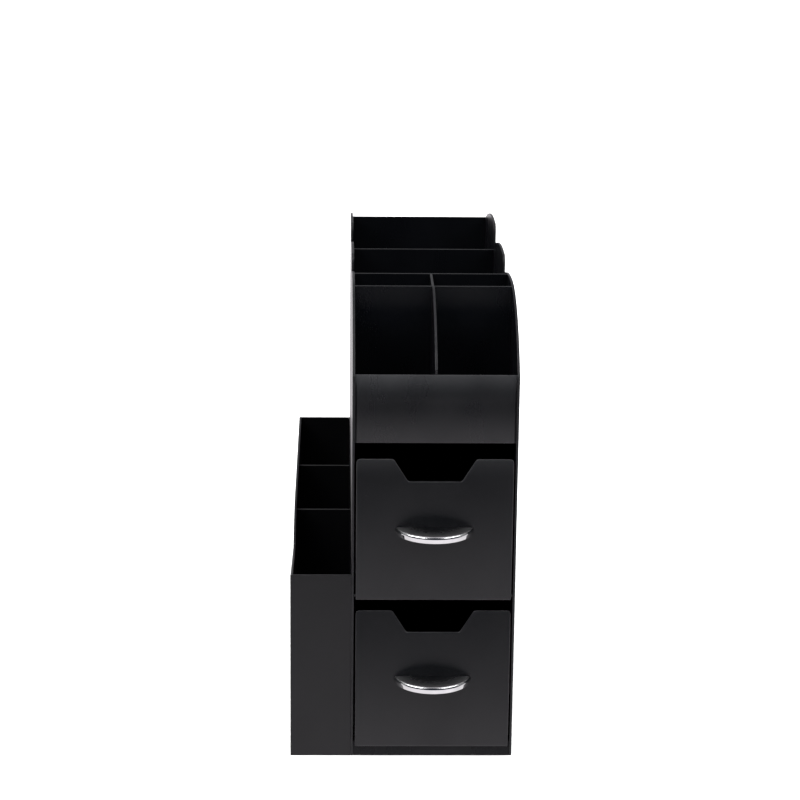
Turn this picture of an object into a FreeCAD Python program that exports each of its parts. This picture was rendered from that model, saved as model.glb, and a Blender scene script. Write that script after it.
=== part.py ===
import FreeCAD, Part
import os

import Sketcher

# A condiment caddy: a tall cabinet with two drawers, open compartments on its
# top deck, and a narrow bin along its left side.  Millimetres, +Z up, the
# front faces -Y, and the origin lies on the table, midway between the two
# sides and midway between the handles' fronts and the back.

doc = FreeCAD.newDocument("CondimentCaddy")

# --------------------------------------------------------------------------
# Driving dimensions: plain numbers that can each be set by themselves
# --------------------------------------------------------------------------
SIZES = {
    # overall
    "cabinet_width": 98.0,
    "bin_width": 36.5,
    "overall_depth": 348.4,
    "wall": 1.5,
    # heights in the cabinet, stacked from the table up
    "base_height": 9.8,
    "lower_bay_height": 92.8,
    "upper_bay_height": 94.0,
    "compartment_height": 78.8,
    # wave along the top edge of the cabinet sides
    "front_arc_radius": 90.8,
    "front_crest_depth": 75.0,
    "back_arc_radius": 255.0,
    "hump_corner": 6.0,
    "hump_flat": 14.0,
    # walls on the deck, measured back from the front face
    "packet_front_rise": 0.55,
    "packet_front_thickness": 2.6,
    "partition_depth": 65.3,
    "stirrer_wall_depth": 107.4,
    "cup_front_depth": 151.0,
    "cup_wall_drop": 3.0,
    # drawers
    "drawer_side_gap": 1.05,
    "closing_gap": 0.3,
    "running_gap": 0.3,
    "rear_clearance": 4.0,
    "front_gap_under_shelf": 8.5,
    "front_gap_under_deck": 9.3,
    "drawer_front_thickness": 2.5,
    "drawer_lip": 3.1,
    "drawer_corner": 2.4,
    "notch_top_width": 49.0,
    "notch_bottom_width": 31.8,
    "notch_depth": 13.6,
    "notch_corner": 2.4,
    "tray_wall": 1.6,
    "tray_floor": 1.8,
    "tray_side_height": 68.0,
    "tray_front_height": 56.0,
    # half-moon handles
    "handle_span": 46.6,
    "handle_reach": 18.5,
    "handle_thickness": 4.5,
    "handle_upper_round": 1.5,
    "handle_lower_round": 0.4,
    "handle_top_height": 46.3,
    # handle screws
    "screw_diameter": 2.2,
    "screw_hole_gap": 0.2,
    "screw_bite": 3.0,
    "screw_tip_gap": 0.6,
    "screw_inset": 7.0,
    "screw_head_diameter": 4.6,
    "screw_head_height": 1.6,
    "screw_slot_width": 0.7,
    "screw_slot_depth": 0.8,
    # side bin
    "bin_side_height": 114.5,
    "bin_front_rise": 1.6,
    "bin_floor_height": 1.8,
    "bin_divider_drop": 6.5,
    "scoop_depth": 102.0,
    "scoop_drop": 15.3,
    "scoop_arc_end": 155.0,
}

# Places worked out from the sizes; a name here may use the names above it.
PLACES = {
    "overall_width": "cabinet_width + bin_width",
    "bin_left": "-overall_width / 2",
    "cabinet_left": "bin_left + bin_width",
    "cabinet_right": "overall_width / 2",
    "cabinet_middle": "cabinet_left + cabinet_width / 2",
    "inner_left": "cabinet_left + wall",
    "inner_width": "cabinet_width - 2 * wall",
    "front_projection": "closing_gap + drawer_front_thickness + handle_reach",
    "front_face": "(front_projection - overall_depth) / 2",
    "inner_depth": "overall_depth - wall",
    "back_inside": "front_face + inner_depth",
    # levels
    "shelf_under": "base_height + lower_bay_height",
    "shelf_top": "shelf_under + wall",
    "deck_under": "shelf_top + upper_bay_height",
    "deck_top": "deck_under + wall",
    "crest_height": "deck_top + compartment_height",
    # where the cup wells part the rest of the depth in two equal halves
    "cup_divider_depth": "(cup_front_depth + inner_depth) / 2",
    # heights of the wave at its corners and at the walls that follow it
    "side_front_top": "crest_height - front_arc_radius"
                      " + sqrt(front_arc_radius ^ 2 - front_crest_depth ^ 2)",
    "packet_front_top": "side_front_top + packet_front_rise",
    "divider_front_top": "crest_height - front_arc_radius"
                         " + sqrt(front_arc_radius ^ 2 - (front_crest_depth - packet_front_thickness) ^ 2)",
    "partition_top": "crest_height - front_arc_radius"
                     " + sqrt(front_arc_radius ^ 2 - (front_crest_depth - partition_depth) ^ 2)",
    "stirrer_wall_top": "crest_height - back_arc_radius + sqrt(back_arc_radius ^ 2"
                        " - (stirrer_wall_depth + wall - front_crest_depth) ^ 2)",
    "first_valley": "crest_height - back_arc_radius"
                    " + sqrt(back_arc_radius ^ 2 - (cup_front_depth - front_crest_depth) ^ 2)",
    "hump_run": "cup_divider_depth - cup_front_depth - hump_flat",
    "second_valley": "crest_height - back_arc_radius + sqrt(back_arc_radius ^ 2 - hump_run ^ 2)",
    "rear_run": "overall_depth - cup_divider_depth - hump_flat",
    "side_back_top": "crest_height - back_arc_radius + sqrt(back_arc_radius ^ 2 - rear_run ^ 2)",
    # drawers
    "drawer_width": "inner_width - 2 * drawer_side_gap",
    "drawer_rear_of_front": "front_face - closing_gap",
    "drawer_face": "drawer_rear_of_front - drawer_front_thickness",
    "lower_front_height": "lower_bay_height + drawer_lip - front_gap_under_shelf",
    "upper_front_height": "upper_bay_height + drawer_lip - front_gap_under_deck",
    "tray_depth": "inner_depth + closing_gap - rear_clearance",
    # handle: a half-moon plate, whose rim is an arc
    "handle_radius": "((handle_span / 2) ^ 2 + handle_reach ^ 2) / (2 * handle_reach)",
    "handle_middle_height": "handle_top_height - handle_thickness / 2",
    "screw_offset": "handle_span / 2 - screw_inset",
    "screw_hole_diameter": "screw_diameter + screw_hole_gap",
    "screw_length": "tray_wall + drawer_front_thickness + screw_bite",
    # scoop in the bin's outer side
    "bin_inner_depth": "overall_depth - 2 * wall",
    "scoop_radius": "((scoop_arc_end - scoop_depth) ^ 2 + scoop_drop ^ 2) / (2 * scoop_drop)",
}


def set_row(sheet, row, alias, content):
    """Fill a row of a spreadsheet: the name in column A, and its aliased value in column B."""
    sheet.set(f"A{row}", alias)
    sheet.set(f"B{row}", content)
    sheet.setAlias(f"B{row}", alias)


def in_sheet_names(text):
    """Write each bare word of a formula as the sheet cell that it stands for."""
    word, out = "", ""
    for letter in text + " ":
        if letter.isalnum() or letter == "_":
            word += letter
            continue
        if word in SIZES:
            word = "Sizes." + word
        elif word in PLACES:
            word = "Places." + word
        out += word + letter
        word = ""
    return out.strip()


sizes = doc.addObject("Spreadsheet::Sheet", "Sizes")
for row, (alias, number) in enumerate(SIZES.items(), start=1):
    set_row(sizes, row, alias, str(number))
doc.recompute()
places = doc.addObject("Spreadsheet::Sheet", "Places")
for row, (alias, formula) in enumerate(PLACES.items(), start=1):
    set_row(places, row, alias, "=" + in_sheet_names(formula).replace("Places.", ""))
    doc.recompute()


def value(formula):
    """The number that a formula gives now."""
    return float(places.evalExpression(in_sheet_names(formula)))


def bind(thing, **formulas):
    """Bind properties of an object to formulas over the two sheets."""
    for name, formula in formulas.items():
        thing.setExpression(name, in_sheet_names(formula))


def place(thing, x="0", y="0", z="0"):
    """Bind the position of a sub-part, and leave it unturned."""
    for axis, formula in zip("xyz", (x, y, z)):
        thing.setExpression("Placement.Base." + axis, in_sheet_names(formula))


# --------------------------------------------------------------------------
# Building blocks
# --------------------------------------------------------------------------
parts = []      # every finished sub-part, in the order they are written


def finish(thing, label):
    """Name a finished sub-part and put it on the list."""
    thing.Label = label
    parts.append(thing)
    return thing


def box(name, length, width, height, x="0", y="0", z="0"):
    """A rectangular block with its sizes and its lowest corner bound to formulas."""
    block = doc.addObject("Part::Box", name)
    bind(block, Length=length, Width=width, Height=height)
    place(block, x, y, z)
    return block


def cylinder_along_y(name, radius, height, x, y, z):
    """A cylinder whose axis runs from its base towards +Y."""
    rod = doc.addObject("Part::Cylinder", name)
    rod.Placement.Rotation = FreeCAD.Rotation(FreeCAD.Vector(1, 0, 0), -90)
    bind(rod, Radius=radius, Height=height)
    place(rod, x, y, z)
    return rod


def boolean(kind, name, base, tool):
    """Part::Cut, Part::Fuse or Part::Common of two shapes."""
    result = doc.addObject("Part::" + kind, name)
    result.Base = base
    result.Tool = tool
    return result


def origin_plane(body, role):
    """One of the body's own three origin planes."""
    return next(f for f in body.Origin.OriginFeatures if f.Role == role)


def arc_between(start, end, radius):
    """A clockwise arc from start to end; a negative radius turns the other way."""
    middle = (start + end) / 2
    chord = end - start
    reach = (radius ** 2 - (chord.Length / 2) ** 2) ** 0.5
    side = FreeCAD.Vector(chord.y, -chord.x, 0).normalize() * (1 if radius > 0 else -1)
    centre = middle + side * reach
    circle = Part.Circle(centre, FreeCAD.Vector(0, 0, 1), abs(radius))
    angles = [circle.parameter(end), circle.parameter(start)]
    if radius < 0:
        angles.reverse()
    return Part.ArcOfCircle(circle, *angles)


def draw_outline(sketch, corners):
    """Draw a closed, fully held outline.

    Each corner is (across, up) or (across, up, radius), where the radius bends
    the run that leaves the corner.  Every corner is held by its two distances
    from the sketch's origin, and every bend by its radius.
    """
    points = [FreeCAD.Vector(value(c[0]), value(c[1]), 0) for c in corners]
    ends = []
    for index, corner in enumerate(corners):
        start, end = points[index], points[(index + 1) % len(points)]
        if len(corner) == 3:
            run = sketch.addGeometry(arc_between(start, end, value(corner[2])), False)
            clockwise = value(corner[2]) > 0
            ends.append((run, 2, 1) if clockwise else (run, 1, 2))
        else:
            run = sketch.addGeometry(Part.LineSegment(start, end), False)
            ends.append((run, 1, 2))

    def hold(kind, name, formula, *where):
        index = sketch.addConstraint(Sketcher.Constraint(kind, *where, value(formula)))
        sketch.renameConstraint(index, name)
        sketch.setExpression("Constraints." + name, in_sheet_names(formula))

    for index, corner in enumerate(corners):
        run, start, end = ends[index]
        next_run, next_start, _ = ends[(index + 1) % len(ends)]
        sketch.addConstraint(Sketcher.Constraint("Coincident", run, end, next_run, next_start))
        hold("DistanceX", f"across{index}", corner[0], -1, 1, run, start)
        hold("DistanceY", f"up{index}", corner[1], -1, 1, run, start)
        if len(corner) == 3:
            size = corner[2].lstrip("-")
            hold("Radius", f"bend{index}", size, run)


def outline_body(name, role, corners, thickness):
    """A body that is one outline on an origin plane, padded to a thickness."""
    body = doc.addObject("PartDesign::Body", name)
    sketch = body.newObject("Sketcher::SketchObject", name + "_outline")
    sketch.AttachmentSupport = [(origin_plane(body, role), "")]
    sketch.MapMode = "FlatFace"
    draw_outline(sketch, corners)
    pad = body.newObject("PartDesign::Pad", name + "_pad")
    pad.Profile = sketch
    bind(pad, Length=thickness)
    sketch.Visibility = False
    doc.recompute()
    return body


def round_edges(body, name, radius, test):
    """Fillet the edges of a body's last feature for which test(edge) is true."""
    base = body.Tip
    edges = [f"Edge{i}" for i, edge in enumerate(base.Shape.Edges, start=1) if test(edge)]
    fillet = body.newObject("PartDesign::Fillet", name)
    fillet.Base = (base, edges)
    bind(fillet, Radius=radius)
    doc.recompute()
    return fillet


def drill_towards_face(body, name, centres, diameter, depth):
    """Round holes, drilled towards -Y from the body's own XZ plane."""
    sketch = body.newObject("Sketcher::SketchObject", name + "_circles")
    sketch.AttachmentSupport = [(origin_plane(body, "XZ_Plane"), "")]
    sketch.MapMode = "FlatFace"
    for index, (across, up) in enumerate(centres):
        centre = FreeCAD.Vector(value(across), value(up), 0)
        circle = Part.Circle(centre, FreeCAD.Vector(0, 0, 1), value(diameter) / 2)
        run = sketch.addGeometry(circle, False)
        holds = (
            ("DistanceX", f"across{index}", across, (-1, 1, run, 3)),
            ("DistanceY", f"up{index}", up, (-1, 1, run, 3)),
            ("Diameter", f"bore{index}", diameter, (run,)),
        )
        for kind, label, formula, where in holds:
            held = sketch.addConstraint(Sketcher.Constraint(kind, *where, value(formula)))
            sketch.renameConstraint(held, label)
            sketch.setExpression("Constraints." + label, in_sheet_names(formula))
    before = body.Tip.Shape.Volume
    pocket = body.newObject("PartDesign::Pocket", name)
    pocket.Profile = sketch
    pocket.Reversed = True
    bind(pocket, Length=depth)
    sketch.Visibility = False
    doc.recompute()
    if pocket.Shape.Volume >= before:
        raise RuntimeError(name + " removes nothing")
    return pocket


# --------------------------------------------------------------------------
# Cabinet shell
# --------------------------------------------------------------------------
def side_outline():
    """Upright front edge, long front arc, then two humps that each fall back in an arc."""
    corners = [
        ("0", "0"),
        ("0", "side_front_top", "front_arc_radius"),
        ("front_crest_depth", "crest_height", "back_arc_radius"),
    ]
    for start, valley in (("cup_front_depth", "first_valley"),
                          ("cup_divider_depth", "second_valley")):
        corners += [
            (start, valley),
            (start, "crest_height - hump_corner", "hump_corner"),
            (start + " + hump_corner", "crest_height"),
            (start + " + hump_flat", "crest_height", "back_arc_radius"),
        ]
    return corners + [("overall_depth", "side_back_top"), ("overall_depth", "0")]


def cabinet_side(label, x):
    """One side of the cabinet, a flat panel under the wave-shaped top edge."""
    body = outline_body(label, "YZ_Plane", side_outline(), "wall")
    place(body, x=x, y="front_face")
    finish(body, label)


def base_panel():
    """Floor of the lower drawer bay, with a skirt down to the table at front and back."""
    block = box("base_block", "inner_width", "inner_depth", "base_height", "inner_left", "front_face")
    hollow = box("base_hollow", "inner_width", "inner_depth - 2 * wall", "base_height - wall",
                 "inner_left", "front_face + wall")
    finish(boolean("Cut", "base_cut", block, hollow), "base_panel")


def level_panel(label, y, depth, z):
    """A level panel between the cabinet's sides."""
    finish(box(label, "inner_width", depth, "wall", "inner_left", y, z), label)


def upright_wall(label, distance, bottom, top, thickness="wall"):
    """A wall across the cabinet, at a distance back from its front face."""
    wall = box(label, "inner_width", thickness, f"{top} - ({bottom})",
               "inner_left", f"front_face + {distance}", bottom)
    finish(wall, label)


def packet_divider():
    """Fore-and-aft wall between the packet compartments, cut to the front arc."""
    corners = [
        ("packet_front_thickness", "deck_top"),
        ("packet_front_thickness", "divider_front_top", "front_arc_radius"),
        ("partition_depth", "partition_top"),
        ("partition_depth", "deck_top"),
    ]
    body = outline_body("packet_divider", "YZ_Plane", corners, "wall")
    place(body, x="cabinet_middle - wall / 2", y="front_face")
    finish(body, "packet_divider")


def stirrer_divider():
    """Fore-and-aft wall between the two stirrer compartments."""
    start = "partition_depth + wall"
    wall = box("stirrer_divider", "wall", f"stirrer_wall_depth - ({start})",
               "stirrer_wall_top - deck_top",
               "cabinet_middle - wall / 2", f"front_face + {start}", "deck_top")
    finish(wall, "stirrer_divider")


cabinet_side("cabinet_left_side", "cabinet_left")
cabinet_side("cabinet_right_side", "cabinet_right - wall")
base_panel()
level_panel("middle_shelf", "front_face", "inner_depth", "shelf_under")
level_panel("top_deck", "front_face + packet_front_thickness",
            "inner_depth - packet_front_thickness", "deck_under")
upright_wall("back_panel", "inner_depth", "0", "side_back_top")
upright_wall("packet_bin_front", "0", "deck_under", "packet_front_top", "packet_front_thickness")
packet_divider()
upright_wall("packet_partition", "partition_depth", "deck_top", "partition_top")
stirrer_divider()
upright_wall("stirrer_rear_wall", "stirrer_wall_depth", "deck_top", "stirrer_wall_top")
upright_wall("cup_front_wall", "cup_front_depth", "deck_top", "first_valley - cup_wall_drop")
upright_wall("cup_divider_wall", "cup_divider_depth", "deck_top", "second_valley - cup_wall_drop")


# --------------------------------------------------------------------------
# Side bin, bonded to the cabinet's left side
# --------------------------------------------------------------------------
def bin_outer_side():
    """Outer side of the bin: its top edge dips behind the front, then rises in an arc."""
    corners = [
        ("0", "0"),
        ("0", "bin_side_height"),
        ("scoop_depth - wall", "bin_side_height - scoop_drop", "scoop_radius"),
        ("scoop_arc_end - wall", "bin_side_height"),
        ("bin_inner_depth", "bin_side_height"),
        ("bin_inner_depth", "0"),
    ]
    body = outline_body("bin_outer_side", "YZ_Plane", corners, "wall")
    place(body, x="bin_left", y="front_face + wall")
    finish(body, "bin_outer_side")


def bin_panel(label, width, depth, height, x, y, z="0"):
    """A flat panel of the side bin."""
    finish(box(label, width, depth, height, x, y, z), label)


bin_outer_side()
bin_panel("bin_front", "bin_width", "wall", "bin_side_height + bin_front_rise",
          "bin_left", "front_face")
bin_panel("bin_back", "bin_width", "wall", "bin_side_height", "bin_left", "back_inside")
bin_panel("bin_floor", "bin_width - wall", "bin_inner_depth", "bin_floor_height",
          "bin_left + wall", "front_face + wall")
for label, distance in (("bin_front_divider", "cup_front_depth"),
                        ("bin_rear_divider", "cup_divider_depth")):
    bin_panel(label, "bin_width - wall", "wall",
              "bin_side_height - bin_divider_drop - bin_floor_height",
              "bin_left + wall", f"front_face + {distance}", "bin_floor_height")


# --------------------------------------------------------------------------
# Drawers
# --------------------------------------------------------------------------
def along_y(edge):
    """Whether a straight edge runs front to back."""
    first, last = edge.Vertexes[0].Point, edge.Vertexes[-1].Point
    return abs(abs(first.y - last.y) - edge.Length) < 1e-6 and edge.Length > 1e-6


def screw_places():
    """The two screw axes on a drawer front: (across, up from the front's lower edge)."""
    return [("-screw_offset", "handle_middle_height"),
            ("screw_offset", "handle_middle_height")]


def drawer_front(label, level, top):
    """Front panel with rounded upper corners and a finger notch in its upper edge."""
    half, floor = "drawer_width / 2", top + " - notch_depth"
    corners = [
        ("-" + half, "0"), ("-" + half, top),
        ("-notch_top_width / 2", top), ("-notch_bottom_width / 2", floor),
        ("notch_bottom_width / 2", floor), ("notch_top_width / 2", top),
        (half, top), (half, "0"),
    ]
    body = outline_body(label, "XZ_Plane", corners, "drawer_front_thickness")
    notch_edge = value("notch_top_width / 2") + 1e-3
    outer_edge = value(half) - 1e-3

    def at_notch(edge):
        middle = edge.CenterOfMass
        return along_y(edge) and abs(middle.x) < notch_edge

    def at_upper_corner(edge):
        middle = edge.CenterOfMass
        return along_y(edge) and abs(middle.x) > outer_edge and middle.z > 1

    round_edges(body, label + "_notch_corners", "notch_corner", at_notch)
    round_edges(body, label + "_corners", "drawer_corner", at_upper_corner)
    drill_towards_face(body, label + "_holes", screw_places(),
                       "screw_hole_diameter", "drawer_front_thickness")
    place(body, "cabinet_middle", "drawer_rear_of_front", f"{level} - drawer_lip")
    finish(body, label)


def drawer_tray(label, level):
    """Open tray behind the front, with a lower wall where the front's notch is."""
    left = "cabinet_middle - drawer_width / 2"
    front = "drawer_rear_of_front"
    bottom = f"{level} + running_gap"
    block = box(label + "_block", "drawer_width", "tray_depth", "tray_side_height",
                left, front, bottom)
    inner_width = "drawer_width - 2 * tray_wall"
    hollow = box(label + "_hollow", inner_width, "tray_depth - 2 * tray_wall", "tray_side_height",
                 f"{left} + tray_wall", f"{front} + tray_wall", f"{bottom} + tray_floor")
    gap = box(label + "_front_gap", inner_width, "tray_wall", "tray_side_height",
              f"{left} + tray_wall", front, f"{bottom} + tray_front_height")
    shape = boolean("Cut", label + "_open", boolean("Cut", label + "_shell", block, hollow), gap)
    for side, (across, up) in zip(("left", "right"), screw_places()):
        hole = cylinder_along_y(f"{label}_{side}_hole", "screw_hole_diameter / 2", "tray_wall",
                                f"cabinet_middle + {across}", front,
                                f"{level} - drawer_lip + {up}")
        shape = boolean("Cut", f"{label}_{side}_drilled", shape, hole)
    finish(shape, label)


def half_moon_handle(label, level):
    """Flat half-moon plate with a rounded rim, whose straight edge stands on the drawer's face."""
    body = outline_body(label + "_plate", "XY_Plane",
                        [("handle_span / 2", "0", "handle_radius"),
                         ("0", "-handle_reach", "handle_radius"),
                         ("-handle_span / 2", "0")],
                        "handle_thickness")

    def along_upper_edge(edge):
        return is_bend(edge) and edge.CenterOfMass.z > value("handle_thickness / 2")

    def along_lower_edge(edge):
        return is_bend(edge) and edge.CenterOfMass.z < value("handle_thickness / 2")

    def is_bend(edge):
        return hasattr(edge.Curve, "Radius")

    round_edges(body, label + "_upper_round", "handle_upper_round", along_upper_edge)
    round_edges(body, label + "_lower_round", "handle_lower_round", along_lower_edge)
    place(body, "cabinet_middle", "drawer_face",
          f"{level} - drawer_lip + handle_top_height - handle_thickness")

    shape = body
    for side, (across, _) in zip(("left", "right"), screw_places()):
        x = f"cabinet_middle + {across}"
        z = f"{level} - drawer_lip + handle_middle_height"
        depth = "screw_bite + screw_tip_gap"
        hole = cylinder_along_y(f"{label}_{side}_hole", "screw_hole_diameter / 2",
                                depth, x, f"drawer_face - ({depth})", z)
        shape = boolean("Cut", f"{label}_{side}_drilled", shape, hole)
    finish(shape, label)


def handle_screws(label, level):
    """The two slotted pan-head screws that hold a handle, driven from inside the tray."""
    screws = []
    inside = "drawer_rear_of_front + tray_wall"
    z = f"{level} - drawer_lip + handle_middle_height"
    for side, (across, _) in zip(("left", "right"), screw_places()):
        x = f"cabinet_middle + {across}"
        shank = cylinder_along_y(f"{label}_{side}_shank", "screw_diameter / 2", "screw_length",
                                 x, f"{inside} - screw_length", z)
        head = cylinder_along_y(f"{label}_{side}_head", "screw_head_diameter / 2",
                                "screw_head_height", x, inside, z)
        slot = box(f"{label}_{side}_slot", "screw_slot_width", "screw_slot_depth",
                   "screw_head_diameter", f"{x} - screw_slot_width / 2",
                   f"{inside} + screw_head_height - screw_slot_depth",
                   f"{z} - screw_head_diameter / 2")
        screw = boolean("Fuse", f"{label}_{side}_whole", shank, head)
        screws.append(boolean("Cut", f"{label}_{side}_slotted", screw, slot))
    pair = doc.addObject("Part::Compound", label)
    pair.Links = screws
    finish(pair, label)


for drawer, level in (("upper", "shelf_top"), ("lower", "base_height")):
    drawer_front(f"{drawer}_drawer_front", level, f"{drawer}_front_height")
    drawer_tray(f"{drawer}_drawer_tray", level)
    half_moon_handle(f"{drawer}_drawer_handle", level)
    handle_screws(f"{drawer}_handle_screws", level)


# --------------------------------------------------------------------------
# Check everything, then write one file per sub-part
# --------------------------------------------------------------------------
doc.recompute()
for thing in doc.Objects:
    if "Invalid" in thing.State or "Error" in thing.State:
        raise RuntimeError(f"{thing.Name} did not compute: {thing.State}")
for part in parts:
    if part.Shape.isNull() or not part.Shape.isValid():
        raise RuntimeError(f"{part.Label} has no valid shape")

os.makedirs("parts", exist_ok=True)
for part in parts:
    part.Shape.exportStep(f"parts/{part.Label}.step")
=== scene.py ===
import math

import bmesh
import bpy
from mathutils import Matrix, Vector


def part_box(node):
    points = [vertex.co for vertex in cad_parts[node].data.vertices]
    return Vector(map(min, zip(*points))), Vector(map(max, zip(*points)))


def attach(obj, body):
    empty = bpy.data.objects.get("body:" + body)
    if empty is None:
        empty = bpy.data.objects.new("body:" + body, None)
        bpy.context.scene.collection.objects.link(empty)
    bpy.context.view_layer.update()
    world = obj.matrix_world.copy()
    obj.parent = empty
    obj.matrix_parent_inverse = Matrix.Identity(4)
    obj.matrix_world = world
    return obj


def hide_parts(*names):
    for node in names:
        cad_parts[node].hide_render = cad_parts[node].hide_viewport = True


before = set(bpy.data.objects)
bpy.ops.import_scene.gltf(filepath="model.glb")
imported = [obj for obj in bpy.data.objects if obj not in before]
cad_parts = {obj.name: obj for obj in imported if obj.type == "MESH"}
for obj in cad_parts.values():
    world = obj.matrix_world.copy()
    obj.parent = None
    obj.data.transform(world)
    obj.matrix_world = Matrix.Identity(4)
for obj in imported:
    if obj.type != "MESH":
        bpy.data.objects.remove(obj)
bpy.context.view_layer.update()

MM = 0.001
AXES = {"x": 0, "y": 1, "z": 2}


# --------------------------------------------------------------------------
# Camera, at the photograph's viewing angle
# --------------------------------------------------------------------------
CAMERA_PLACE = Vector((-0.03955, -1.57675, 0.6187))
YAW = math.radians(1.484)
PITCH = math.radians(15.575)
ROLL = math.radians(0.618)
LENS_MM = 112.94
SENSOR_MM = 36.0


def make_camera():
    data = bpy.data.cameras.new("camera")
    data.lens = LENS_MM
    data.sensor_width = SENSOR_MM
    camera = bpy.data.objects.new("camera", data)
    bpy.context.scene.collection.objects.link(camera)
    forward = Vector((math.sin(YAW) * math.cos(PITCH), math.cos(YAW) * math.cos(PITCH), -math.sin(PITCH)))
    right = Vector((math.cos(YAW), -math.sin(YAW), 0))
    up = right.cross(forward)
    x = math.cos(ROLL) * right + math.sin(ROLL) * up
    y = math.cos(ROLL) * up - math.sin(ROLL) * right
    pose = Matrix((x, y, -forward)).transposed().to_4x4()
    pose.translation = CAMERA_PLACE
    camera.matrix_world = pose
    bpy.context.scene.camera = camera


# --------------------------------------------------------------------------
# Material nodes
# --------------------------------------------------------------------------
class Nodes:
    """A node tree, with short ways to add and join nodes."""

    def __init__(self, tree):
        self.tree = tree

    def add(self, kind, **inputs):
        """A node, with its inputs set to numbers or joined to other nodes' outputs."""
        node = self.tree.nodes.new(kind)
        for name, given in inputs.items():
            self.give(node.inputs[name.replace("_", " ")], given)
        return node

    def give(self, socket, given):
        if isinstance(given, bpy.types.NodeSocket):
            self.tree.links.new(given, socket)
        else:
            socket.default_value = given

    def math(self, operation, first, second=0.0, clamp=False):
        node = self.tree.nodes.new("ShaderNodeMath")
        node.operation = operation
        node.use_clamp = clamp
        self.give(node.inputs[0], first)
        self.give(node.inputs[1], second)
        return node.outputs[0]

    def span(self, source, low, high, to_low=0.0, to_high=1.0, smooth=False):
        """A value taken from one range to another, and held at the ends."""
        node = self.tree.nodes.new("ShaderNodeMapRange")
        node.interpolation_type = "SMOOTHSTEP" if smooth else "LINEAR"
        for name, given in (("Value", source), ("From Min", low), ("From Max", high),
                            ("To Min", to_low), ("To Max", to_high)):
            self.give(node.inputs[name], given)
        return node.outputs["Result"]

    def mix(self, share, first, second):
        """A colour between two colours."""
        node = self.tree.nodes.new("ShaderNodeMix")
        node.data_type = "RGBA"
        self.give(node.inputs[0], share)
        self.give(node.inputs[6], first)
        self.give(node.inputs[7], second)
        return node.outputs[2]

    def layer(self, name):
        """A number that the mesh holds at each vertex."""
        node = self.tree.nodes.new("ShaderNodeAttribute")
        node.attribute_name = name
        return node.outputs["Fac"]

    def place(self, stretch=(1, 1, 1)):
        """The piece's own coordinates, in metres, stretched along each axis."""
        coordinates = self.tree.nodes.new("ShaderNodeTexCoord")
        mapping = self.tree.nodes.new("ShaderNodeMapping")
        mapping.inputs["Scale"].default_value = stretch
        self.tree.links.new(coordinates.outputs["Object"], mapping.inputs["Vector"])
        return mapping.outputs["Vector"]

    def noise(self, size, detail=3.0, stretch=(1, 1, 1)):
        """Cloudy noise from about 0 to 1, whose blobs are `size` metres across."""
        node = self.add("ShaderNodeTexNoise", Vector=self.place(stretch), Scale=1 / size, Detail=detail)
        return node.outputs[0]


def new_material(name):
    material = bpy.data.materials.new(name)
    material.use_nodes = True
    nodes = Nodes(material.node_tree)
    return material, nodes, material.node_tree.nodes["Principled BSDF"]


PLASTIC_IOR = 1.49
# Share of the pale colour on the rims: worn plastic, and painted edge highlights
EDGE_WEAR_AND_HIGHLIGHT = 0.06
EDGE_ROUGHNESS = 0.08
SMEARS = 0.03


def black_plastic(name, colour, dust_and_highlight, roughness, grain):
    """Moulded satin plastic: fine grain, uneven gloss, hairlines, dust specks, worn edges lightened with
    painted edge highlights, and a painted highlight along upper edges.

    The mesh layer "rim" says where the edges are worn and carry painted highlights; a second mesh layer
    says where the painted highlight along the upper edge lies.
    """
    material, nodes, shader = new_material(name)
    cloud = nodes.span(nodes.noise(0.035), 0.35, 0.7)
    base = nodes.mix(cloud, (*colour, 1), (*[c * 1.3 for c in colour], 1))

    cells = nodes.add("ShaderNodeTexVoronoi", Vector=nodes.place(), Scale=1 / 0.006)
    speck = nodes.span(cells.outputs["Distance"], 0.0, 0.045, 1.0, 0.0)
    rare = nodes.span(nodes.noise(0.018, 1.0), 0.60, 0.66)
    base = nodes.mix(nodes.math("MULTIPLY", nodes.math("MULTIPLY", speck, rare), 0.6), base, (*dust_and_highlight, 1))

    # Worn edges: the rims are mixed towards the pale colour, partly real worn plastic and partly painted
    # edge highlights.
    rim = nodes.layer("rim")
    rubbed_and_lit = nodes.span(nodes.noise(0.004, 2.0), 0.3, 0.75, 0.25, 1.0)
    wear_and_highlight = nodes.math("MULTIPLY", rim, nodes.math("MULTIPLY", rubbed_and_lit, EDGE_WEAR_AND_HIGHLIGHT))
    base = nodes.mix(wear_and_highlight, base, (*dust_and_highlight, 1))
    # Painted highlight: a panel's upper band is mixed, in patches, towards the pale colour.
    patchy = nodes.span(nodes.noise(0.05, 2.0), 0.35, 0.65, 0.65, 1.0)
    base = nodes.mix(nodes.math("MULTIPLY", nodes.layer("haze_and_painted_highlight"), patchy), base, (*dust_and_highlight, 1))
    nodes.give(shader.inputs["Base Color"], base)

    smear = nodes.span(nodes.noise(0.022, 4.0, (1, 1, 0.45)), 0.35, 0.75, -SMEARS, SMEARS, smooth=True)
    hair = nodes.span(nodes.noise(0.0008, 2.0, (1, 1, 0.03)), 0.62, 0.8, 0.0, SMEARS * 0.25)
    uneven = nodes.math("ADD", nodes.math("ADD", smear, hair), roughness)
    uneven = nodes.math("ADD", uneven, nodes.math("MULTIPLY", rim, EDGE_ROUGHNESS))
    nodes.give(shader.inputs["Roughness"], nodes.math("ADD", uneven, 0.0, clamp=True))

    texture = nodes.noise(0.0007, 3.0)
    ripple = nodes.noise(0.045, 1.0)
    height = nodes.math("ADD", nodes.math("MULTIPLY", texture, grain), nodes.math("MULTIPLY", ripple, 0.08))
    bump = nodes.add("ShaderNodeBump", Strength=0.15, Distance=0.0001, Height=height)
    nodes.give(shader.inputs["Normal"], bump.outputs[0])
    shader.inputs["IOR"].default_value = PLASTIC_IOR
    return material


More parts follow.
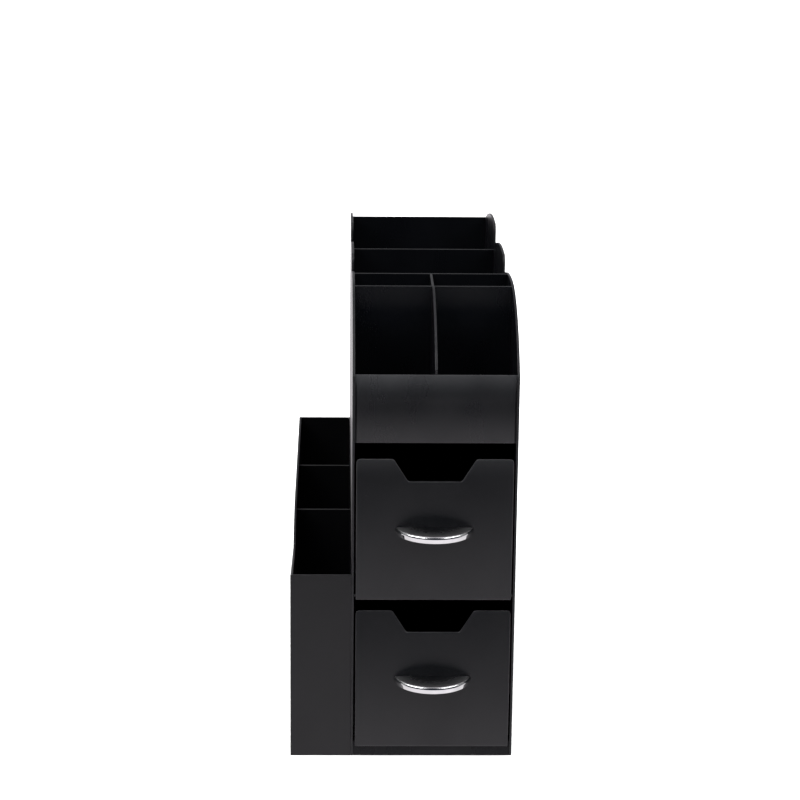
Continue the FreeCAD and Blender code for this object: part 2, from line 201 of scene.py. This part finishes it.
def chrome_plate():
    """Bright chrome, slightly hazy and uneven, with fine scratches where the layer "dull" is high."""
    material, nodes, shader = new_material("bright_chrome")
    shader.inputs["Metallic"].default_value = 1.0
    dull = nodes.layer("dull")
    haze_and_painted_highlight = nodes.span(nodes.noise(0.006, 4.0), 0.35, 0.75)
    bright = nodes.mix(haze_and_painted_highlight, (0.64, 0.645, 0.64, 1), (0.57, 0.575, 0.575, 1))
    nodes.give(shader.inputs["Base Color"], nodes.mix(dull, bright, (0.55, 0.55, 0.56, 1)))
    polish = nodes.span(nodes.noise(0.003, 4.0), 0.3, 0.8, 0.035, 0.09)
    nodes.give(shader.inputs["Roughness"], nodes.math("ADD", polish, nodes.math("MULTIPLY", dull, 0.35)))
    bump = nodes.add("ShaderNodeBump", Strength=0.2, Distance=0.00004, Height=nodes.noise(0.005, 1.0))
    nodes.give(shader.inputs["Normal"], bump.outputs[0])
    return material


def turned_steel():
    """Zinc-plated steel with fine turned lines."""
    material, nodes, shader = new_material("zinc_steel")
    shader.inputs["Metallic"].default_value = 1.0
    lines = nodes.noise(0.0003, 2.0, (0.15, 1, 1))
    nodes.give(shader.inputs["Base Color"],
               nodes.mix(nodes.span(lines, 0.3, 0.7), (0.42, 0.43, 0.44, 1), (0.60, 0.61, 0.62, 1)))
    nodes.give(shader.inputs["Roughness"], nodes.span(lines, 0.3, 0.7, 0.28, 0.42))
    bump = nodes.add("ShaderNodeBump", Strength=0.3, Distance=0.00003, Height=lines)
    nodes.give(shader.inputs["Normal"], bump.outputs[0])
    return material


# --------------------------------------------------------------------------
# Outlines: closed loops of 2-D points, with their material on the left
# --------------------------------------------------------------------------
SAME_POINT = 0.002 * MM
SAME_PLANE = 0.005 * MM
STRAIGHT = 0.002
SHARP_CORNER = math.radians(35)


def flat_loops(node, axis):
    """The edge loops of a node's flat face across an axis, outer loop first."""
    a = AXES[axis]
    across = [i for i in range(3) if i != a]
    bm = bmesh.new()
    bm.from_mesh(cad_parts[node].data)
    bmesh.ops.remove_doubles(bm, verts=bm.verts, dist=SAME_POINT)
    low = min(v.co[a] for v in bm.verts)
    cap = {f for f in bm.faces if all(abs(v.co[a] - low) < SAME_PLANE for v in f.verts)}
    after = {}
    for face in cap:
        for loop in face.loops:
            others = [f for f in loop.edge.link_faces if f is not face]
            if not any(f in cap for f in others):
                after[loop.vert.index] = loop.link_loop_next.vert.index
    bm.verts.ensure_lookup_table()
    loops = []
    while after:
        at = next(iter(after))
        chain = []
        while at in after:
            chain.append(tuple(bm.verts[at].co[i] for i in across))
            at = after.pop(at)
        loops.append(chain)
    bm.free()
    loops.sort(key=lambda chain: -abs(signed_area(chain)))
    turned = [chain if (signed_area(chain) > 0) == (i == 0) else chain[::-1]
              for i, chain in enumerate(loops)]
    return [without_straights(chain) for chain in turned]


def signed_area(chain):
    return sum(p[0] * q[1] - q[0] * p[1] for p, q in zip(chain, chain[1:] + chain[:1])) / 2


def turn_at(before, here, beyond):
    """How far a path turns at a point, in radians."""
    first = Vector(here) - Vector(before)
    second = Vector(beyond) - Vector(here)
    return math.atan2(first.x * second.y - first.y * second.x, first.dot(second))


def neighbours(chain):
    """Each point of a loop, between the points before and after it."""
    return zip(chain[-1:] + chain[:-1], chain, chain[1:] + chain[:1])


def without_straights(chain):
    """A loop without the points that lie on its straight runs."""
    return [p for before, p, beyond in neighbours(chain) if abs(turn_at(before, p, beyond)) > STRAIGHT]


def with_round_corners(chain, radius, steps=4):
    """A loop whose sharp corners are small arcs."""
    result = []
    for before, here, beyond in neighbours(chain):
        turn = turn_at(before, here, beyond)
        if abs(turn) < SHARP_CORNER:
            result.append(here)
            continue
        corner = Vector(here)
        back, ahead = Vector(before) - corner, Vector(beyond) - corner
        cut = min(radius * math.tan(abs(turn) / 2), back.length * 0.45, ahead.length * 0.45)
        start, end = corner + back.normalized() * cut, corner + ahead.normalized() * cut
        for k in range(steps + 1):
            t = k / steps
            result.append(tuple(start * (1 - t) ** 2 + corner * 2 * t * (1 - t) + end * t ** 2))
    return result


def inset(chain, distance):
    """A loop moved inwards, towards its material."""
    result = []
    for before, here, beyond in neighbours(chain):
        first = (Vector(here) - Vector(before)).normalized()
        second = (Vector(beyond) - Vector(here)).normalized()
        n1, n2 = Vector((-first.y, first.x)), Vector((-second.y, second.x))
        result.append(tuple(Vector(here) + (n1 + n2) * distance / (1 + n1.dot(n2))))
    return result


# --------------------------------------------------------------------------
# Meshes
# --------------------------------------------------------------------------
def bridge(bm, lower, upper):
    """Join two rings of vertices by a band of faces."""
    for i in range(len(lower)):
        j = (i + 1) % len(lower)
        bm.faces.new((lower[i], lower[j], upper[j], upper[i]))


def plate_mesh(loops, axis, low, high, low_round, high_round, corner, steps=3):
    """A flat plate with rounded edges, from its outline and its two faces' places along an axis.

    The layer "rim" is 1 on the rounded edges and 0 on the flat faces.
    """
    a = AXES[axis]
    across = [i for i in range(3) if i != a]
    bm = bmesh.new()
    rim = bm.verts.layers.float.new("rim")

    def ring(chain, depth, edge):
        verts = []
        for p in chain:
            co = [0.0, 0.0, 0.0]
            co[a], co[across[0]], co[across[1]] = depth, p[0], p[1]
            vert = bm.verts.new(co)
            vert[rim] = edge
            verts.append(vert)
        return verts

    outer = with_round_corners(loops[0], corner)
    levels = []
    for k in range(steps + 1):
        t = math.pi / 2 * k / steps
        levels.append((low_round * (1 - math.sin(t)), low + low_round * (1 - math.cos(t)), float(k > 0)))
    for k in range(steps, -1, -1):
        t = math.pi / 2 * k / steps
        levels.append((high_round * (1 - math.sin(t)), high - high_round * (1 - math.cos(t)), float(k > 0)))
    rings = [ring(inset(outer, d) if d else outer, depth, edge) for d, depth, edge in levels]
    for lower, upper in zip(rings, rings[1:]):
        bridge(bm, lower, upper)
    ends = [[rings[0]], [rings[-1]]]
    for hole in loops[1:]:
        pair = [ring(hole, low, 0.0), ring(hole, high, 0.0)]
        bridge(bm, *pair)
        ends[0].append(pair[0])
        ends[1].append(pair[1])
    for end in ends:
        edges = [bm.edges.get((v, w)) for loop in end for v, w in zip(loop, loop[1:] + loop[:1])]
        bmesh.ops.triangle_fill(bm, use_beauty=True, use_dissolve=False, edges=edges)
    bmesh.ops.recalc_face_normals(bm, faces=bm.faces)
    return bm


def cut_at(bm, axis, place):
    """Cut a mesh by one plane across an axis."""
    normal = [0, 0, 0]
    normal[AXES[axis]] = 1
    geometry = list(bm.verts) + list(bm.edges) + list(bm.faces)
    bmesh.ops.bisect_plane(bm, geom=geometry, dist=0.001 * MM,
                           plane_co=[n * place for n in normal], plane_no=normal)


def cut_evenly(bm, axis, low, high, count):
    """Cut a mesh into bands across an axis, so that it can be bent smoothly."""
    for k in range(1, count):
        cut_at(bm, axis, low + (high - low) * k / count)


def lie_back(bm, low, high, set_back):
    """Push a panel's front face back by set_back(place across, share of height)."""
    for vert in bm.verts:
        towards_front = (high.y - vert.co.y) / (high.y - low.y)
        vert.co.y += towards_front * set_back(vert.co.x, (vert.co.z - low.z) / (high.z - low.z))


def add_painted_highlight(bm, high, depth, strength):
    """Painted highlight along a panel's upper edge: a share of a pale colour, kept as a mesh layer."""
    layer = bm.verts.layers.float.new("haze_and_painted_highlight")
    for vert in bm.verts:
        up = (vert.co.z - (high.z - depth)) / depth
        vert[layer] = strength * max(0.0, up) ** 1.6


def as_piece(bm, name, body, material, nodes):
    """A finished mesh as a piece that stands for CAD nodes, and rides on their body."""
    mesh = bpy.data.meshes.new(name)
    bm.to_mesh(mesh)
    bm.free()
    mesh.shade_smooth()
    piece = bpy.data.objects.new(name, mesh)
    bpy.context.scene.collection.objects.link(piece)
    mesh.materials.append(material)
    weighted = piece.modifiers.new("weighted_normals", "WEIGHTED_NORMAL")
    weighted.keep_sharp = True
    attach(piece, body)
    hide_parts(*nodes)
    return piece


# --------------------------------------------------------------------------
# Panels and other plain solids
# --------------------------------------------------------------------------
SHEET_ROUND = 0.25 * MM
SHEET_CORNER = 0.35 * MM
TRAY_ROUND = 0.4 * MM
SCREW_ROUND = 0.15 * MM
SHARP_EDGE = math.radians(40)


def sheet_panel(node, axis, body, material):
    """A flat panel whose edges are slightly rounded."""
    a = AXES[axis]
    low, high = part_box(node)
    bm = plate_mesh(flat_loops(node, axis), axis, low[a], high[a], SHEET_ROUND, SHEET_ROUND, SHEET_CORNER)
    as_piece(bm, node + "_panel", body, material, [node])


def softened_solid(node, name, body, material, radius):
    """A CAD solid that isn't one flat plate, with its edges rounded."""
    bm = bmesh.new()
    bm.from_mesh(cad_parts[node].data)
    bmesh.ops.remove_doubles(bm, verts=bm.verts, dist=SAME_POINT)
    bmesh.ops.dissolve_limit(bm, angle_limit=math.radians(1), verts=bm.verts, edges=bm.edges)
    sharp = [e for e in bm.edges if e.is_manifold and e.calc_face_angle() > SHARP_EDGE]
    bmesh.ops.bevel(bm, geom=sharp, offset=radius, segments=3, profile=0.5, affect="EDGES",
                    clamp_overlap=True)
    bmesh.ops.recalc_face_normals(bm, faces=bm.faces)
    return as_piece(bm, name, body, material, [node])


BASE_LEAN = 0.55 * MM
BASE_ROUND = 0.3 * MM
SKIRT_FACE_DEPTH = 0.6 * MM


def base_panel(material):
    """The base, whose skirt leans back a little from the table upwards."""
    low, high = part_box("base_panel")
    piece = softened_solid("base_panel", "base_panel_solid", "cabinet", material,
                           BASE_ROUND)
    for vert in piece.data.vertices:
        if vert.co.y < low.y + SKIRT_FACE_DEPTH:
            vert.co.y += BASE_LEAN * (vert.co.z - low.z) / (high.z - low.z)


# --------------------------------------------------------------------------
# Fronts, whose faces are bent as the bands of light in the photograph show
# --------------------------------------------------------------------------
FRONT_CROWN = 1.55 * MM
FRONT_ROUND = 0.6 * MM
FRONT_CORNER = 0.6 * MM
FRONT_BANDS = 36
# Depth of the painted highlight along a drawer front's top edge
FRONT_HIGHLIGHT_DEPTH = 12 * MM


def drawer_front(drawer, material, lean, haze_and_painted_highlight):
    """A crowned drawer front; `lean` moves the crown's foremost line down, so that the face leans back."""
    node = drawer + "_front"
    low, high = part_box(node)

    def set_back(_, share):
        return FRONT_CROWN * (2 * share - 1 + lean) ** 2

    bm = plate_mesh(flat_loops(node, "y"), "y", low.y, high.y, FRONT_ROUND, SHEET_ROUND, FRONT_CORNER)
    cut_evenly(bm, "z", low.z, high.z, FRONT_BANDS)
    lie_back(bm, low, high, set_back)
    # Painted highlight along the front's top edge
    add_painted_highlight(bm, high, FRONT_HIGHLIGHT_DEPTH, haze_and_painted_highlight)
    as_piece(bm, node + "_panel", drawer, material, [node])


PACKET_ROUND = 0.3 * MM
PACKET_BACK_ROUND = 0.2 * MM
PACKET_CORNER = 0.4 * MM
PACKET_BANDS = 40
PACKET_TOP_ROLL = 2.05 * MM
PACKET_ROLL_START = 0.64
PACKET_FOOT_LEAN = 0.95 * MM
PACKET_GROOVE_WIDTH = 1.05 * MM
PACKET_GROOVE_DEPTH = 1.3 * MM
PACKET_GROOVE_WALL = 0.08 * MM
# Depth and strength of the painted highlight along the packet panel's top edge
PACKET_HIGHLIGHT_DEPTH = 18 * MM
PACKET_HIGHLIGHT = 0.24


def packet_front(material):
    """Panel over the upper drawer: its top rolls back, its foot leans in, and each end has a groove."""
    node = "packet_bin_front"
    low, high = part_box(node)
    middle = (low.x + high.x) / 2
    groove_start = (high.x - low.x) / 2 - PACKET_GROOVE_WIDTH

    def set_back(across, share):
        roll = max(0.0, share - PACKET_ROLL_START) / (1 - PACKET_ROLL_START)
        foot = max(0.0, 0.5 - share) / 0.5
        back = PACKET_TOP_ROLL * roll ** 2.2 + PACKET_FOOT_LEAN * foot ** 2
        in_groove = abs(across - middle) - groove_start > PACKET_GROOVE_WALL / 2
        return max(back, PACKET_GROOVE_DEPTH) if in_groove else back

    bm = plate_mesh(flat_loops(node, "y"), "y", low.y, high.y, PACKET_ROUND, PACKET_BACK_ROUND,
                    PACKET_CORNER)
    for side in (-1, 1):
        cut_at(bm, "x", middle + side * groove_start)
        cut_at(bm, "x", middle + side * (groove_start + PACKET_GROOVE_WALL))
    cut_evenly(bm, "z", low.z, high.z, PACKET_BANDS)
    lie_back(bm, low, high, set_back)
    # Painted highlight along the panel's top edge
    add_painted_highlight(bm, high, PACKET_HIGHLIGHT_DEPTH, PACKET_HIGHLIGHT)
    as_piece(bm, node + "_panel", "cabinet", material, [node])


# --------------------------------------------------------------------------
# Handles
# --------------------------------------------------------------------------
HANDLE_LEAN = 0.3 * MM
HANDLE_DOME = 0.1 * MM
UPPER_ROUND = 1.8 * MM
LOWER_ROUND = 0.5 * MM
ROUND_STEPS = 8
TOP_STEPS = 12
ARC_STEPS = 96


def half_moon_section(radius, set_back, low, high):
    """The handle's cross-section, as (distance from the rim's centre, height, dullness).

    It runs up round the rim's lower and upper edges, then inwards along the domed top to the
    drawer's face, which lies set_back in front of the centre, and last down to the underside.
    """
    section = []
    for k in range(ROUND_STEPS + 1):
        t = math.pi / 2 * k / ROUND_STEPS
        section.append((radius - HANDLE_LEAN - LOWER_ROUND * (1 - math.sin(t)),
                        low + LOWER_ROUND * (1 - math.cos(t)), 0.0))
    for k in range(ROUND_STEPS + 1):
        t = math.pi / 2 * k / ROUND_STEPS
        section.append((radius - UPPER_ROUND * (1 - math.cos(t)),
                        high - HANDLE_DOME - UPPER_ROUND * (1 - math.sin(t)), k / ROUND_STEPS))
    top = radius - UPPER_ROUND - set_back
    for k in range(1, TOP_STEPS + 1):
        share = 1 - k / TOP_STEPS
        section.append((set_back + top * max(share, 0.001), high - HANDLE_DOME * share ** 2, share))
    section.append((section[-1][0], low, 0.0))
    return section


def half_moon_handle(drawer, material):
    """A half-moon plate with a rounded rim and a slightly domed top, cut off at the drawer's face."""
    node = drawer + "_handle"
    low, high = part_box(node)
    face = high.y
    reach, half = face - low.y, (high.x - low.x) / 2
    radius = (reach ** 2 + half ** 2) / (2 * reach)
    set_back = radius - reach
    middle = (low.x + high.x) / 2
    section = half_moon_section(radius, set_back, low.z, high.z)
    bm = bmesh.new()
    layer = bm.verts.layers.float.new("dull")
    rings = []
    for k in range(ARC_STEPS + 1):
        share = 2 * k / ARC_STEPS - 1
        ring = []
        for distance, up, dull in section:
            angle = share * math.acos(set_back / distance)
            vert = bm.verts.new((middle + distance * math.sin(angle),
                                 face + set_back - distance * math.cos(angle), up))
            vert[layer] = dull
            ring.append(vert)
        rings.append(ring)
    for lower, upper in zip(rings, rings[1:]):
        bridge(bm, lower, upper)
    bm.faces.new(rings[0][::-1])
    bm.faces.new(rings[-1])
    bmesh.ops.recalc_face_normals(bm, faces=bm.faces)
    as_piece(bm, node + "_plate", drawer, material, [node])


# --------------------------------------------------------------------------
# Stage: pale floor, soft light
# --------------------------------------------------------------------------
def make_floor():
    bm = bmesh.new()
    bmesh.ops.create_grid(bm, x_segments=8, y_segments=8, size=30)
    mesh = bpy.data.meshes.new("floor")
    bm.to_mesh(mesh)
    bm.free()
    floor = bpy.data.objects.new("floor", mesh)
    bpy.context.scene.collection.objects.link(floor)
    material, nodes, shader = new_material("pale_floor")
    nodes.give(shader.inputs["Base Color"],
               nodes.mix(nodes.noise(0.4), (0.90, 0.90, 0.90, 1), (0.92, 0.92, 0.92, 1)))
    shader.inputs["Roughness"].default_value = 0.9
    shader.inputs["Specular IOR Level"].default_value = 0.0
    mesh.materials.append(material)
    floor.visible_glossy = False


# Angles over the horizon, in degrees, between which the room goes from bright to dark: on the
# camera's side, and on the other sides
FRONT_DARK_FROM, FRONT_DARK_TO = -23.6, -18.2
REST_DARK_FROM, REST_DARK_TO = -4, 4
# and between which it goes from dark to bright again, towards the ceiling
CEILING_FROM, CEILING_TO = 48, 68
CEILING_SHARE = 0.6


def sine(degrees):
    return math.sin(math.radians(degrees))


def make_world():
    """A bright room, dark on the camera's side from a little below the level of the table upwards."""
    world = bpy.data.worlds.new("studio")
    world.use_nodes = True
    bpy.context.scene.world = world
    nodes = Nodes(world.node_tree)
    direction = nodes.add("ShaderNodeTexCoord").outputs["Generated"]
    split = nodes.add("ShaderNodeSeparateXYZ", Vector=direction)
    across, ahead, up = split.outputs["X"], split.outputs["Y"], split.outputs["Z"]
    sideways = nodes.math("DIVIDE", nodes.math("ABSOLUTE", across), nodes.math("ABSOLUTE", ahead))
    camera_side = nodes.span(ahead, -0.45, 0.05, 1.0, 0.0, smooth=True)
    above = nodes.math("MULTIPLY",
                       nodes.span(up, sine(CEILING_FROM), sine(CEILING_TO), 0.0, 1.0, smooth=True),
                       nodes.span(sideways, 0.25, 0.5, 0.1, 1.0, smooth=True))
    below_front = nodes.span(up, sine(FRONT_DARK_FROM), sine(FRONT_DARK_TO), 1.0, 0.0, smooth=True)
    below_rest = nodes.span(up, sine(REST_DARK_FROM), sine(REST_DARK_TO), 1.0, 0.0, smooth=True)
    ceiling = nodes.math("MULTIPLY", above, CEILING_SHARE)
    dark_front = nodes.math("SUBTRACT", 1.0, nodes.math("MAXIMUM", below_front, above))
    dark_rest = nodes.math("SUBTRACT", 1.0, nodes.math("MAXIMUM", below_rest, ceiling))
    front = nodes.mix(dark_front, (1.30, 1.24, 1.31, 1), (0.020, 0.026, 0.040, 1))
    rest = nodes.mix(dark_rest, (1.12, 1.08, 1.12, 1), (0.26, 0.26, 0.27, 1))
    background = world.node_tree.nodes["Background"]
    nodes.give(background.inputs["Color"], nodes.mix(camera_side, rest, front))
    background.inputs["Strength"].default_value = 1.0


def soft_box(name, place, target, width, height, power, in_gloss=True):
    """A rectangular lamp that faces a target; its size is in metres and its power in watts."""
    data = bpy.data.lights.new(name, "AREA")
    data.shape = "RECTANGLE"
    data.size = width
    data.size_y = height
    data.energy = power
    light = bpy.data.objects.new(name, data)
    bpy.context.scene.collection.objects.link(light)
    light.location = place
    light.rotation_euler = (Vector(target) - Vector(place)).to_track_quat("-Z", "Y").to_euler()
    light.visible_glossy = in_gloss


def make_light():
    make_world()
    soft_box("left_soft_box", (-1.2, -0.75, 1.5), (0, 0, 0.15), 1.6, 0.7, 22)
    soft_box("right_soft_box", (1.2, -0.75, 1.5), (0, 0, 0.15), 1.5, 0.7, 15)
    soft_box("overhead_soft_box", (0, 2.0, 3.2), (0, 2.0, 0), 14.0, 14.0, 1400, in_gloss=False)
    bpy.context.scene.view_settings.view_transform = "Standard"


# --------------------------------------------------------------------------
# The caddy
# --------------------------------------------------------------------------
make_camera()

# The pale colour paints dust specks, worn edges, painted edge highlights and the painted highlight along
# upper edges
cabinet_black = black_plastic("cabinet_black", colour=(0.0014, 0.0016, 0.0022),
                              dust_and_highlight=(0.10, 0.10, 0.105), roughness=0.30, grain=0.5)
bin_black = black_plastic("bin_black", colour=(0.0016, 0.0016, 0.0019),
                          dust_and_highlight=(0.10, 0.10, 0.10), roughness=0.32, grain=0.6)
drawer_black = black_plastic("drawer_black", colour=(0.0013, 0.0015, 0.0021),
                             dust_and_highlight=(0.17, 0.17, 0.175), roughness=0.38, grain=0.5)
tray_black = black_plastic("tray_black", colour=(0.0050, 0.0050, 0.0054),
                           dust_and_highlight=(0.08, 0.08, 0.08), roughness=0.40, grain=0.8)
chrome = chrome_plate()
steel = turned_steel()

CABINET_PANELS = {
    "cabinet_left_side": "x", "cabinet_right_side": "x", "packet_divider": "x", "stirrer_divider": "x",
    "back_panel": "y", "packet_partition": "y", "stirrer_rear_wall": "y", "cup_front_wall": "y",
    "cup_divider_wall": "y", "middle_shelf": "z", "top_deck": "z",
}
BIN_PANELS = {
    "bin_outer_side": "x", "bin_front": "y", "bin_back": "y", "bin_front_divider": "y",
    "bin_rear_divider": "y", "bin_floor": "z",
}
for node, axis in CABINET_PANELS.items():
    sheet_panel(node, axis, "cabinet", cabinet_black)
for node, axis in BIN_PANELS.items():
    sheet_panel(node, axis, "cabinet", bin_black)
base_panel(cabinet_black)
packet_front(cabinet_black)

# The last number is the strength of the painted highlight along each front's top edge
for drawer, lean, haze_and_painted_highlight in (("upper_drawer", 0.0, 0.045), ("lower_drawer", 0.1, 0.005)):
    drawer_front(drawer, drawer_black, lean, haze_and_painted_highlight)
    tray = drawer + "_tray"
    softened_solid(tray, tray + "_shell", drawer, tray_black, TRAY_ROUND)
    half_moon_handle(drawer, chrome)
for drawer, node in (("upper_drawer", "upper_handle_screws"), ("lower_drawer", "lower_handle_screws")):
    softened_solid(node, node + "_pair", drawer, steel, SCREW_ROUND)

make_floor()
make_light()
